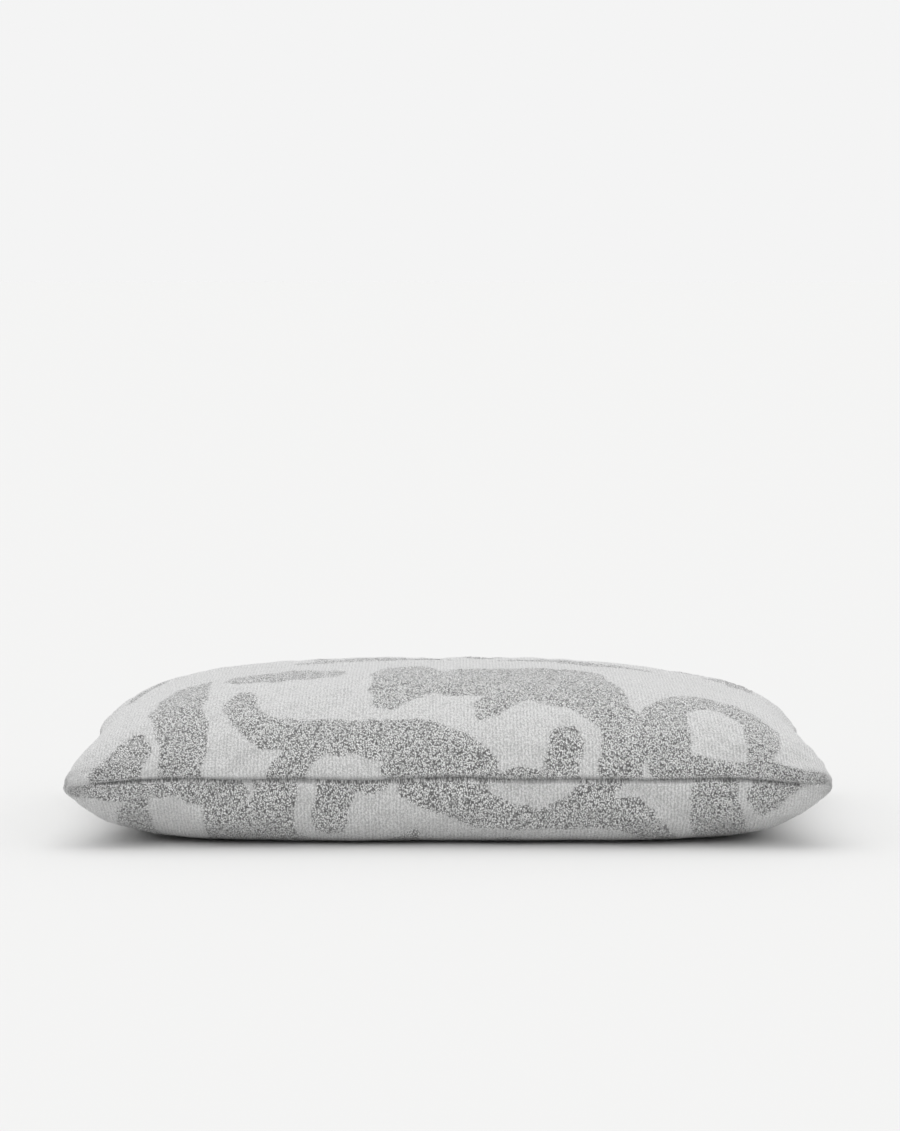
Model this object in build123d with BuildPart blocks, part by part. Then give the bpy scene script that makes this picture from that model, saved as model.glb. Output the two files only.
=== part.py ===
"""Rectangular plush scatter pillow: a zipped two-panel knitted cover over a sewn, filled insert.

Frame: +X along the long edge, +Y towards the zipped rear edge, +Z up.
The origin is at the bottom centre of the box that holds the pillow.
Sizes are in millimetres. The pillow lies on its flattened underside.
"""

import os

from build123d import *

# ---------------------------------------------------------------- driving dimensions
WIDTH = 500.0            # corner to corner along X, before the corners are rounded
DEPTH = 290.0            # corner to corner along Y, before the corners are rounded
PLAN_SHIFT = -0.77       # centres the box, because the front corners are rounded and the rear bows
SEAM_Z = 45.0            # height of the seam plane above the underside
CROWN = 62.0             # rise of the upper half above the seam plane
SAG = 58.0               # depth that the lower half would have with nothing under it
SIDE_EXPONENT = 2.6      # fullness of the pillow's plan profile
RISE_EXPONENT = 0.42     # steepness of the wall near the seam
EDGE_PINCH = 8.0         # how far the seam draws in between its corners
REAR_BOW = 0.4           # the zipped edge stays almost straight
CORNER_R = 16.0          # corner radius at the seam
TOP_LEVELS = (0.0, 0.14, 0.32, 0.52, 0.71, 0.87, 0.965)
BOTTOM_LEVELS = (0.0, 0.14, 0.32, 0.52, 0.68, SEAM_Z / SAG)

COVER_T = 3.0            # knitted plush with its pile
ALLOWANCE = 10.0         # seam allowance inside the cover
ALLOWANCE_T = 2.2        # thickness of one allowance layer
STITCH_GAP = 1.2         # room for the stitch line between the two allowances
THREAD = 1.0             # section of a stitched line
OVERLOCK_T = 0.3
OVERLOCK_W = 4.0

INSERT_INSET_X = 16.0    # from the cover's seam to the insert's seam
INSERT_INSET_Y = 20.0
CASING_T = 0.6
CASING_CLEARANCE = 1.0   # between the cover's inner face and the casing
FILL_CLEARANCE = 0.4     # between the casing and the fill
SERGING_GAP = 0.6        # from the casing's edge to its seam thread

OPENING_START = -197.0   # zip opening in the rear edge, along X
OPENING_END = 190.0
LIP_GAP = 9.2            # height of the opening between the two lips
LIP_RISE = 5.9           # from the seam plane to the underside of a lip's allowance
TAPE_T = 0.5
TAPE_EDGE = 0.95         # from the seam plane to a tape's inner edge
TAPE_RISE = 5.7          # from the seam plane to the face that is sewn to the lip
TAPE_WIDTH = 9.0         # the sewn part of a tape
TAPE_OVERRUN = 5.0       # tape beyond each end of the opening
TAPE_Y = 137.9           # middle of the upright part of the tapes
COIL_Y = 1.8             # thickness of one coil
COIL_Z = 2.1             # width of one coil
COIL_GAP = 0.05          # from the seam plane to a coil
COIL_START = -184.5
CORE_R = 0.35            # cord inside the coil
STITCH_Y = 135.0         # row that holds a tape to its lip
STITCH_W = 0.6
STITCH_T = 0.3

SLIDER_X = 180.0         # slider's middle with the zip closed
SLIDER_LENGTH = 9.0
SLIDER_HEIGHT = 7.6
SLIDER_PLATE = 0.9
SLIDER_GAP = 2.7         # between the slider's plates
SLIDER_FLANGE = 1.1
SLIDER_CLEARANCE = 0.2   # from the inner plate to the tape
WEDGE_LENGTH = 3.2
WEDGE_WIDTH = 1.3
BRIDGE_RISE = 2.5        # from the outer plate to the top of the bridge
BRIDGE_T = 0.8
BRIDGE_WIDTH = 1.6
BRIDGE_LENGTH = 6.8
PULL_LENGTH = 18.0
PULL_WIDTH = 5.4
PULL_T = 1.0
PULL_PIN_R = 0.55
PULL_WINDOW = 5.6        # opening that clears the bridge
STOP_LENGTH = 2.4
STOP_T = 0.3             # wall of a stop around the tape
BOTTOM_STOP_X = -186.4
TACK_LENGTH = 2.5
TACK_HEIGHT = 10.0

LABEL_X = 115.0
LABEL_WIDTH = 30.0
LABEL_T = 0.5
LABEL_DROP = 23.0
LABEL_TAB = 6.4          # part that is sewn into the lip's allowance

REAR_Y = DEPTH / 2 + REAR_BOW + PLAN_SHIFT
TAPE_OUTER_Y = TAPE_Y + TAPE_T / 2
TAPE_INNER_Y = TAPE_Y - TAPE_T / 2
TAPE_START = OPENING_START - TAPE_OVERRUN
TAPE_END = OPENING_END + TAPE_OVERRUN
INNER_PLATE_Y = TAPE_INNER_Y - SLIDER_CLEARANCE
OUTER_PLATE_Y = INNER_PLATE_Y + SLIDER_GAP
BRIDGE_Y = OUTER_PLATE_Y + SLIDER_PLATE
PIN_Y = BRIDGE_Y + (BRIDGE_RISE - BRIDGE_T) / 2


# ---------------------------------------------------------------- shared shapes
def outline(z, half_x, half_y, bow_x, bow_front, bow_rear, corner):
    """Four edges, each bowed at its middle, with rounded corners, on the level z."""
    with BuildSketch(Plane((0, PLAN_SHIFT, z))) as plan:
        with BuildLine():
            ThreePointArc((-half_x, -half_y), (0, -half_y - bow_front), (half_x, -half_y))
            ThreePointArc((half_x, -half_y), (half_x + bow_x, 0), (half_x, half_y))
            ThreePointArc((half_x, half_y), (0, half_y + bow_rear), (-half_x, half_y))
            ThreePointArc((-half_x, half_y), (-half_x - bow_x, 0), (-half_x, -half_y))
        make_face()
        fillet(plan.vertices(), radius=corner)
    return plan.sketch


def level_outline(level, height, half_x, half_y, direction):
    """Outline of an inflated pillow half at a fraction of its height."""
    filled = level ** (1 / RISE_EXPONENT)
    middle = (1 - filled) ** (1 / SIDE_EXPONENT)
    corner = (1 - filled ** 0.5) ** (1 / SIDE_EXPONENT)
    pinch = EDGE_PINCH * (1 - level) ** 4
    swell_x = half_x * (middle - corner)
    swell_y = half_y * (middle - corner)
    return outline(
        SEAM_Z + direction * height * level,
        half_x * corner,
        half_y * corner,
        swell_x - pinch,
        swell_y - pinch,
        swell_y + REAR_BOW * (1 - level),
        CORNER_R * (1 - level) + 0.45 * half_y * corner * level,
    )


def pillow_half(levels, height, inset_x, inset_y, direction):
    """One closed half of an inflated pillow, its seam drawn in by the insets."""
    half_x = WIDTH / 2 - inset_x
    half_y = DEPTH / 2 - inset_y
    with BuildPart() as half:
        loft(sections=[level_outline(t, height, half_x, half_y, direction) for t in levels])
    return half.part


def upper_half(inset_x, inset_y, drop):
    """Upper half, its crown lowered by the drop."""
    return pillow_half(TOP_LEVELS, (CROWN - drop) / TOP_LEVELS[-1], inset_x, inset_y, 1)


def lower_half(inset_x, inset_y, lift):
    """Lower half, its flat underside raised by the lift."""
    return pillow_half(BOTTOM_LEVELS, (SEAM_Z - lift) / BOTTOM_LEVELS[-1], inset_x, inset_y, -1)


def seam_band(half_height, outer_inset, inner_inset, low=0.0, side=0):
    """Band that follows the sewn seam and leaves the zip free.

    It spans the seam plane, or with a side of 1 or -1 lies above or below it from low.
    """
    edge = SEAM_Z - half_height if side == 0 else SEAM_Z + side * low
    rise = 2 * half_height if side == 0 else side * half_height
    half_sizes = [(WIDTH / 2 - inset, DEPTH / 2 - inset) for inset in (outer_inset, inner_inset)]
    plans = [outline(0, x, y, -EDGE_PINCH, -EDGE_PINCH, REAR_BOW, CORNER_R) for x, y in half_sizes]
    with BuildPart() as band:
        with BuildSketch(Plane.XY.offset(edge)):
            add(plans[0])
            add(plans[1], mode=Mode.SUBTRACT)
            with Locations(((TAPE_START + TAPE_END) / 2, REAR_Y)):
                Rectangle(TAPE_END - TAPE_START + ALLOWANCE, 4 * ALLOWANCE, mode=Mode.SUBTRACT)
        extrude(amount=rise)
    return band.part


def block(x_span, y_span, z_span):
    """Plain block between three pairs of limits, its z limits counted from the seam plane."""
    with BuildPart() as solid:
        with BuildSketch(Plane.XY.offset(SEAM_Z + min(z_span))):
            with Locations((sum(x_span) / 2, sum(y_span) / 2)):
                Rectangle(abs(x_span[1] - x_span[0]), abs(y_span[1] - y_span[0]))
        extrude(amount=abs(z_span[1] - z_span[0]))
    return solid.part


# ---------------------------------------------------------------- cover
def cover_panel(outer, inner, side):
    """Shell of one panel with its seam allowance, the zip opening and the lip's allowance."""
    lip_limits = (side * LIP_RISE, side * (LIP_RISE + ALLOWANCE_T))
    with BuildPart() as lip:
        add(block((TAPE_START, TAPE_END), (REAR_Y - COVER_T - ALLOWANCE, REAR_Y), lip_limits))
        add(outer, mode=Mode.INTERSECT)
    allowance = seam_band(
        ALLOWANCE_T, COVER_T - 0.5, COVER_T + ALLOWANCE, low=STITCH_GAP / 2, side=side
    )
    opening = block(
        (OPENING_START, OPENING_END), (TAPE_Y, REAR_Y + 1), (-LIP_GAP / 2, LIP_GAP / 2)
    )
    with BuildPart() as panel:
        add(outer)
        add(inner, mode=Mode.SUBTRACT)
        add(allowance)
        add(lip.part)
        add(opening, mode=Mode.SUBTRACT)
    return panel.part


with BuildPart() as cover_top_panel:
    add(cover_panel(upper_half(0, 0, 0), upper_half(COVER_T, COVER_T, COVER_T), 1))

with BuildPart() as cover_bottom_panel:
    add(cover_panel(lower_half(0, 0, 0), lower_half(COVER_T, COVER_T, COVER_T), -1))

with BuildPart() as cover_seam_thread:
    add(seam_band(THREAD / 2, COVER_T + 0.7, COVER_T + 0.7 + THREAD))

allowance_face = STITCH_GAP / 2 + ALLOWANCE_T
allowance_edge = COVER_T + ALLOWANCE
with BuildPart() as cover_overlock_thread:
    add(
        seam_band(
            allowance_face + 0.05 + OVERLOCK_T,
            allowance_edge - OVERLOCK_W,
            allowance_edge + 0.1 + OVERLOCK_T,
        )
    )
    add(
        seam_band(allowance_face + 0.05, allowance_edge - OVERLOCK_W - 1, allowance_edge + 0.1),
        mode=Mode.SUBTRACT,
    )


# ---------------------------------------------------------------- insert
casing_drop = COVER_T + CASING_CLEARANCE
fill_inset = CASING_T + FILL_CLEARANCE

with BuildPart() as insert_casing_top:
    add(upper_half(INSERT_INSET_X, INSERT_INSET_Y, casing_drop))
    add(
        upper_half(INSERT_INSET_X + CASING_T, INSERT_INSET_Y + CASING_T, casing_drop + CASING_T),
        mode=Mode.SUBTRACT,
    )

with BuildPart() as insert_casing_bottom:
    add(lower_half(INSERT_INSET_X, INSERT_INSET_Y, casing_drop))
    add(
        lower_half(INSERT_INSET_X + CASING_T, INSERT_INSET_Y + CASING_T, casing_drop + CASING_T),
        mode=Mode.SUBTRACT,
    )

with BuildPart() as insert_fill:
    add(upper_half(INSERT_INSET_X + fill_inset, INSERT_INSET_Y + fill_inset, casing_drop + fill_inset))
    add(lower_half(INSERT_INSET_X + fill_inset, INSERT_INSET_Y + fill_inset, casing_drop + fill_inset))


def insert_outline(outset):
    """Outline of the insert's seam, let out by the outset."""
    return outline(
        0,
        WIDTH / 2 - INSERT_INSET_X + outset,
        DEPTH / 2 - INSERT_INSET_Y + outset,
        -EDGE_PINCH,
        -EDGE_PINCH,
        REAR_BOW,
        CORNER_R,
    )


with BuildPart() as insert_seam_thread:
    with BuildSketch(Plane.XY.offset(SEAM_Z - THREAD / 2)):
        add(insert_outline(SERGING_GAP + STITCH_W))
        add(insert_outline(SERGING_GAP), mode=Mode.SUBTRACT)
    extrude(amount=THREAD)


# ---------------------------------------------------------------- zip tapes, coils and stitching
def tape(side):
    """Upright strip beside the coil that turns inwards under the lip's allowance."""
    face = side * TAPE_RISE
    turn = side * (TAPE_RISE - TAPE_T)
    with BuildPart() as strip:
        add(block((TAPE_START, TAPE_END), (TAPE_INNER_Y, TAPE_OUTER_Y), (side * TAPE_EDGE, face)))
        add(block((TAPE_START, TAPE_END), (TAPE_OUTER_Y - TAPE_WIDTH, TAPE_OUTER_Y), (turn, face)))
    return strip.part


def coil(side):
    """Envelope of one row of coil, with a bore for its core cord."""
    middle = SEAM_Z + side * (COIL_GAP + COIL_Z / 2)
    with BuildPart() as row:
        with BuildSketch(Plane.YZ.offset(COIL_START)):
            with Locations((TAPE_OUTER_Y + COIL_Y / 2, middle)):
                RectangleRounded(COIL_Y, COIL_Z, 0.6)
                Circle(CORE_R + 0.1, mode=Mode.SUBTRACT)
        extrude(amount=SLIDER_X - COIL_START)
    return row.part


def core_cord(side):
    """Cord that runs inside one row of coil."""
    middle = SEAM_Z + side * (COIL_GAP + COIL_Z / 2)
    with BuildPart() as cord:
        with BuildSketch(Plane.YZ.offset(COIL_START)):
            with Locations((TAPE_OUTER_Y + COIL_Y / 2, middle)):
                Circle(CORE_R)
        extrude(amount=SLIDER_X - COIL_START)
    return cord.part


def tape_stitching(side):
    """Needle and bobbin threads on the two faces of a lip's allowance and tape."""
    span_y = (STITCH_Y - STITCH_W / 2, STITCH_Y + STITCH_W / 2)
    tape_face = side * (TAPE_RISE - TAPE_T)
    lip_face = side * (LIP_RISE + ALLOWANCE_T)
    with BuildPart() as rows:
        add(block((TAPE_START, TAPE_END), span_y, (tape_face - side * STITCH_T, tape_face)))
        add(block((TAPE_START, TAPE_END), span_y, (lip_face, lip_face + side * STITCH_T)))
    return rows.part


with BuildPart() as zip_tape_upper:
    add(tape(1))

with BuildPart() as zip_tape_lower:
    add(tape(-1))

with BuildPart() as zip_coil_upper:
    add(coil(1))

with BuildPart() as zip_coil_lower:
    add(coil(-1))

with BuildPart() as zip_core_cord_upper:
    add(core_cord(1))

with BuildPart() as zip_core_cord_lower:
    add(core_cord(-1))

with BuildPart() as zip_stitching_upper:
    add(tape_stitching(1))

with BuildPart() as zip_stitching_lower:
    add(tape_stitching(-1))


# ---------------------------------------------------------------- zip slider, pull tab and stops
with BuildPart() as zip_slider_body:
    # Two rounded plates, joined by the wedge that parts the coils at the leading end.
    for plate_y in (INNER_PLATE_Y, BRIDGE_Y):
        with BuildSketch(Plane((SLIDER_X, plate_y, SEAM_Z), x_dir=(1, 0, 0), z_dir=(0, -1, 0))):
            RectangleRounded(SLIDER_LENGTH, SLIDER_HEIGHT, 1.6)
        extrude(amount=SLIDER_PLATE)
    with BuildSketch(Plane((SLIDER_X + 2.3, OUTER_PLATE_Y, SEAM_Z), x_dir=(1, 0, 0), z_dir=(0, -1, 0))):
        SlotOverall(WEDGE_LENGTH, WEDGE_WIDTH)
    extrude(amount=SLIDER_GAP)
    # Side flanges that keep the coils under the outer plate.
    flange_y = (TAPE_OUTER_Y + 0.3, OUTER_PLATE_Y)
    flange_x = (SLIDER_X - SLIDER_LENGTH / 2 + 1.6, SLIDER_X + SLIDER_LENGTH / 2 - 1.6)
    for side in (-1, 1):
        flange_z = (side * (SLIDER_HEIGHT / 2 - SLIDER_FLANGE), side * SLIDER_HEIGHT / 2)
        add(block(flange_x, flange_y, flange_z))
    # Bridge over the pull tab's cross pin.
    with BuildSketch(Plane.XY.offset(SEAM_Z - BRIDGE_WIDTH / 2)):
        with Locations((SLIDER_X, BRIDGE_Y + BRIDGE_RISE / 2)):
            RectangleRounded(BRIDGE_LENGTH, BRIDGE_RISE, 0.7)
        with Locations((SLIDER_X, BRIDGE_Y + 0.5)):
            Rectangle(BRIDGE_LENGTH, 1.0)
        with Locations((SLIDER_X, PIN_Y)):
            Rectangle(BRIDGE_LENGTH - 2 * BRIDGE_T, BRIDGE_RISE - BRIDGE_T, mode=Mode.SUBTRACT)
    extrude(amount=BRIDGE_WIDTH)

with BuildPart() as zip_pull_tab:
    tab_plane = Plane((SLIDER_X, PIN_Y + PULL_T / 2, SEAM_Z), x_dir=(1, 0, 0), z_dir=(0, -1, 0))
    with BuildSketch(tab_plane):
        with Locations((PULL_PIN_R - PULL_LENGTH / 2, 0)):
            RectangleRounded(PULL_LENGTH, PULL_WIDTH, 1.2)
        with Locations((-PULL_PIN_R - PULL_WINDOW / 2, 0)):
            RectangleRounded(PULL_WINDOW, BRIDGE_WIDTH + 0.6, 0.4, mode=Mode.SUBTRACT)
        with Locations((PULL_PIN_R + 3.6 - PULL_LENGTH, 0)):
            SlotOverall(3.4, 2.0, mode=Mode.SUBTRACT)
    extrude(amount=PULL_T)
    fillet(zip_pull_tab.edges().group_by(Axis.X)[-1], radius=0.4)

with BuildPart() as zip_top_stops:
    for side in (-1, 1):
        stop_x = (SLIDER_X + SLIDER_LENGTH / 2 + 0.6, SLIDER_X + SLIDER_LENGTH / 2 + 0.6 + STOP_LENGTH)
        stop_y = (TAPE_INNER_Y - STOP_T - 0.05, TAPE_OUTER_Y + 1.3)
        add(block(stop_x, stop_y, (side * (TAPE_EDGE - 0.45), side * (TAPE_EDGE + 1.5))))
        gap_y = (TAPE_INNER_Y - 0.05, TAPE_OUTER_Y + 0.05)
        add(block(stop_x, gap_y, (side * (TAPE_EDGE - 0.05), side * 4)), mode=Mode.SUBTRACT)

with BuildPart() as zip_bottom_stop:
    stop_x = (BOTTOM_STOP_X - STOP_LENGTH / 2, BOTTOM_STOP_X + STOP_LENGTH / 2)
    add(block(stop_x, (TAPE_INNER_Y - STOP_T - 0.05, TAPE_OUTER_Y + 1.6), (-2.6, 2.6)))
    for side in (-1, 1):
        gap_y = (TAPE_INNER_Y - 0.05, TAPE_OUTER_Y + 0.05)
        add(block(stop_x, gap_y, (side * (TAPE_EDGE - 0.05), side * 4)), mode=Mode.SUBTRACT)

with BuildPart() as zip_end_bartacks:
    for tack_x in (TAPE_START + 2.5, TAPE_END - 2.5):
        with BuildSketch(Plane((tack_x, TAPE_INNER_Y - 0.05, SEAM_Z), x_dir=(0, 0, 1), z_dir=(0, -1, 0))):
            RectangleRounded(TACK_HEIGHT, TACK_LENGTH, 0.8)
        extrude(amount=STITCH_T)


# ---------------------------------------------------------------- care label
with BuildPart() as care_label:
    label_x = (LABEL_X - LABEL_WIDTH / 2, LABEL_X + LABEL_WIDTH / 2)
    tab_z = LIP_RISE + ALLOWANCE_T + 0.1
    drop_y = REAR_Y - COVER_T - ALLOWANCE - 3.5
    add(block(label_x, (drop_y, drop_y + LABEL_TAB), (tab_z, tab_z + LABEL_T)))
    add(block(label_x, (drop_y, drop_y + LABEL_T), (tab_z + LABEL_T - LABEL_DROP, tab_z + LABEL_T)))


# ---------------------------------------------------------------- export
os.makedirs("parts", exist_ok=True)

cover_top_panel.part.label = "cover_top_panel"
cover_bottom_panel.part.label = "cover_bottom_panel"
cover_seam_thread.part.label = "cover_seam_thread"
cover_overlock_thread.part.label = "cover_overlock_thread"
insert_casing_top.part.label = "insert_casing_top"
insert_casing_bottom.part.label = "insert_casing_bottom"
insert_seam_thread.part.label = "insert_seam_thread"
insert_fill.part.label = "insert_fill"
zip_tape_upper.part.label = "zip_tape_upper"
zip_tape_lower.part.label = "zip_tape_lower"
zip_coil_upper.part.label = "zip_coil_upper"
zip_coil_lower.part.label = "zip_coil_lower"
zip_core_cord_upper.part.label = "zip_core_cord_upper"
zip_core_cord_lower.part.label = "zip_core_cord_lower"
zip_stitching_upper.part.label = "zip_stitching_upper"
zip_stitching_lower.part.label = "zip_stitching_lower"
zip_slider_body.part.label = "zip_slider_body"
zip_pull_tab.part.label = "zip_pull_tab"
zip_top_stops.part.label = "zip_top_stops"
zip_bottom_stop.part.label = "zip_bottom_stop"
zip_end_bartacks.part.label = "zip_end_bartacks"
care_label.part.label = "care_label"

export_step(cover_top_panel.part, "parts/cover_top_panel.step")
export_step(cover_bottom_panel.part, "parts/cover_bottom_panel.step")
export_step(cover_seam_thread.part, "parts/cover_seam_thread.step")
export_step(cover_overlock_thread.part, "parts/cover_overlock_thread.step")
export_step(insert_casing_top.part, "parts/insert_casing_top.step")
export_step(insert_casing_bottom.part, "parts/insert_casing_bottom.step")
export_step(insert_seam_thread.part, "parts/insert_seam_thread.step")
export_step(insert_fill.part, "parts/insert_fill.step")
export_step(zip_tape_upper.part, "parts/zip_tape_upper.step")
export_step(zip_tape_lower.part, "parts/zip_tape_lower.step")
export_step(zip_coil_upper.part, "parts/zip_coil_upper.step")
export_step(zip_coil_lower.part, "parts/zip_coil_lower.step")
export_step(zip_core_cord_upper.part, "parts/zip_core_cord_upper.step")
export_step(zip_core_cord_lower.part, "parts/zip_core_cord_lower.step")
export_step(zip_stitching_upper.part, "parts/zip_stitching_upper.step")
export_step(zip_stitching_lower.part, "parts/zip_stitching_lower.step")
export_step(zip_slider_body.part, "parts/zip_slider_body.step")
export_step(zip_pull_tab.part, "parts/zip_pull_tab.step")
export_step(zip_top_stops.part, "parts/zip_top_stops.step")
export_step(zip_bottom_stop.part, "parts/zip_bottom_stop.step")
export_step(zip_end_bartacks.part, "parts/zip_end_bartacks.step")
export_step(care_label.part, "parts/care_label.step")
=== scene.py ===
"""Looks of a rectangular two-tone plush pillow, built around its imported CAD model.

Lengths are in metres unless a name ends in _mm. The cover's two panels are grids in cut
coordinates: s runs along the long edge and t from the front edge to the zipped rear edge,
both from -1 to 1. The overall shape is an analytic form whose few numbers were fitted to the
photograph's outline, with the pillow's size assumed. A short cloth simulation of the sewn
envelope adds only its quick part, the puckers. Both are carried to fine grids that also hold
the knit's relief. Yarn tones and lights were set by comparing renders with the photograph.
"""

import math

import bpy
import numpy as np
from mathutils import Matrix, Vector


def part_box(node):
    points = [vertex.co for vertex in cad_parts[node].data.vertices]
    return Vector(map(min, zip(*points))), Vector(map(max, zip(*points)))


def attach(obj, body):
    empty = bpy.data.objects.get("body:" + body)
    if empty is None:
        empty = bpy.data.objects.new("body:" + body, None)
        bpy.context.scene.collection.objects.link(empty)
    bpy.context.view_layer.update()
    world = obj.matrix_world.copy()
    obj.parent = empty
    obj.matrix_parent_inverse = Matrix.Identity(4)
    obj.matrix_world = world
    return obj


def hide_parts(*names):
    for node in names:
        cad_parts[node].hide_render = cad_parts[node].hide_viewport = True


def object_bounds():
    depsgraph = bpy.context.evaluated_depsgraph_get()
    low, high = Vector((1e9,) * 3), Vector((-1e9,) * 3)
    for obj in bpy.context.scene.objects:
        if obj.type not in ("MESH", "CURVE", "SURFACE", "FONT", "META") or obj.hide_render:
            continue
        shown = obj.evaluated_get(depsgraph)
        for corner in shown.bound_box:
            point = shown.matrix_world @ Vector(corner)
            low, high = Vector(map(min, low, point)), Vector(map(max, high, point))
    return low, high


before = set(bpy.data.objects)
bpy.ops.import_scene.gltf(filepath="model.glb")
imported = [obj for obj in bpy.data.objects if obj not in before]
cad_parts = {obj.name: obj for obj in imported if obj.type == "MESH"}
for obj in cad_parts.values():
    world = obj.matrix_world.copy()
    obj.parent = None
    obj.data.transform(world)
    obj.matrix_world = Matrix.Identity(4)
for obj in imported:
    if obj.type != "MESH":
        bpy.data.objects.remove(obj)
cad_low, cad_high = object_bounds()

# ---------------------------------------------------------------- sizes taken from the frame
BODY = "pillow"
HALF_X = (cad_high.x - cad_low.x) / 2
HALF_Y = (cad_high.y - cad_low.y) / 2
TOP_Z = cad_high.z
SEAM_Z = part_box("cover_top_panel")[0].z
TAPE_LOW, TAPE_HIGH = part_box("zip_tape_upper")
MM = 0.001

# ---------------------------------------------------------------- pillow form
# The exponents, rises and sag were fitted to the outline together with the camera and the
# heights of seam and crown. The other values were assumed or set.
TOP_EXPONENT = 3.04        # fullness of the plan profile, upper half
TOP_RISE = 0.4317          # steepness of the wall, upper half
BOTTOM_EXPONENT = 3.35
BOTTOM_RISE = 0.4347
SAG = 0.065                # depth of the lower half with nothing under it
CROWN_EASE = 0.0020        # kept free under the CAD crown for the settling and the relief
SHOULDER_DIP = 0.0028      # the photograph's outline is lower towards the right
SHOULDER_X = 0.165
SHOULDER_WIDTH = 0.050
REST_BLEND = 0.006         # rounding where the underside meets the floor
ROLL = 0.0085              # radius that the knit's bulk gives the rim
BULK = 0.002               # how far that bulk stands outside the seam
PINCH_X = 0.045            # how far the short edges draw in, as a share of the half length
PINCH_Y = 0.030            # the same for the front edge
CORNER = 0.008             # corner radius at the seam
TIP_DROOP = 0.003          # how much lower the seam is at the corners
COVER_THICK = 0.003
ARC_SAMPLES = 4001         # points of the arc length tables

# ---------------------------------------------------------------- cloth
CLOTH_CELL = 0.0085
CLOTH_FRAMES = 26
CLOTH_SLACK = 0.02         # how much larger the cut is than the smooth form
CLOTH_PRESSURE = 3.0
CLOTH_SHARE = 0.65         # how much of the quick part of the settling is kept
CLOTH_CAP = 0.003          # farthest that a point may move by it
CLOTH_SMOOTHING = 60       # rounds of smoothing that find the slow part of the settling
CLOTH_FREE_Z = 0.004       # below this the settling is left out, so the contact line stays smooth
CLOTH_FULL_Z = 0.014       # height above that at which all of it is used
GROUND_DROP = 0.004        # how far the simulation's ground lies under the floor
CLOTH_SETTINGS = {
    "quality": 8, "mass": 0.0008, "pin_stiffness": 50.0,
    "shrink_min": -CLOTH_SLACK, "shrink_max": -CLOTH_SLACK,
    "tension_stiffness": 40.0, "compression_stiffness": 40.0,
    "shear_stiffness": 12.0, "bending_stiffness": 1.5,
    "tension_damping": 12.0, "compression_damping": 12.0,
    "shear_damping": 8.0, "bending_damping": 2.0, "air_damping": 3.0,
    "use_pressure": True, "uniform_pressure_force": CLOTH_PRESSURE,
}

# ---------------------------------------------------------------- insert and zip chain
INSERT_CELL = 0.006
INSERT_DIMPLE = 0.0012
CASING_THICK = 0.0006
COIL_PITCH = 0.0013
COIL_WIRE = 0.00028        # wire radius
COIL_STEPS = 14            # sections in one turn
COIL_SIDES = 6

# ---------------------------------------------------------------- fine grid
FINE_CELL = 0.00115
ROW_CROWDING = 0.4
SHELL_STEP = 6             # fine cells under one cell of a shell's inner face
SEED = 7


def smooth_step(value):
    value = np.clip(value, 0.0, 1.0)
    return value * value * (3.0 - 2.0 * value)


# ---------------------------------------------------------------- the smooth form
def crown_profile(u, exponent, rise):
    return np.clip(1.0 - np.abs(u) ** exponent, 0.0, 1.0) ** rise


def arc_table(half, height, exponent, rise):
    """Arc length of a middle section against its plan coordinate, both from -1 to 1."""
    plan = np.linspace(-1.0, 1.0, ARC_SAMPLES)
    level = height * crown_profile(plan, exponent, rise)
    steps = np.hypot(np.diff(plan) * half, np.diff(level))
    arc = np.concatenate([[0.0], np.cumsum(steps)])
    return plan, arc / arc[-1] * 2.0 - 1.0, arc[-1]


PLAN, ARC_X, CUT_X = arc_table(HALF_X, TOP_Z - SEAM_Z, TOP_EXPONENT, TOP_RISE)
PLAN, ARC_Y, CUT_Y = arc_table(HALF_Y, TOP_Z - SEAM_Z, TOP_EXPONENT, TOP_RISE)


def rim_height(u, v):
    """Height of the seam: it droops at the corners and is not quite straight."""
    wave = 0.0006 * np.sin(9.0 * u + 1.3) + 0.0005 * np.sin(17.0 * u + 5.0 * v + 0.4)
    return SEAM_Z - TIP_DROOP * np.abs(u) ** 5 * np.abs(v) ** 3 + wave


def plan_place(u, v):
    """Plan position, with pinched edges and rounded corners."""
    reach_x, reach_y = HALF_X + BULK, HALF_Y + BULK
    x, y = reach_x * u, reach_y * v
    over_x = (np.abs(x) - (reach_x - CORNER)) / CORNER
    over_y = (np.abs(y) - (reach_y - CORNER)) / CORNER
    inside = (over_x > 0) & (over_y > 0)
    a, b = np.where(inside, over_x, 0.0), np.where(inside, over_y, 0.0)
    round_x = np.sign(x) * (reach_x - CORNER + CORNER * a * np.sqrt(1.0 - b * b / 2.0))
    round_y = np.sign(y) * (reach_y - CORNER + CORNER * b * np.sqrt(1.0 - a * a / 2.0))
    x, y = np.where(inside, round_x, x), np.where(inside, round_y, y)
    x = x * (1.0 - PINCH_X * (1.0 - v * v))
    y = y * (1.0 - np.where(v < 0, PINCH_Y, 0.0) * (1.0 - u * u))
    return x, y


def rolled(u, v, rise):
    """Height above the seam, with the rim rounded by the thickness of the knit."""
    inward = np.minimum(HALF_X * (1.0 - np.abs(u)), HALF_Y * (1.0 - np.abs(v)))
    short = np.maximum(ROLL - inward, 0.0)
    roll = np.sqrt(np.maximum(ROLL ** 2 - short ** 2, 0.0))
    return (roll ** 4 + rise ** 4) ** 0.25


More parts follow.
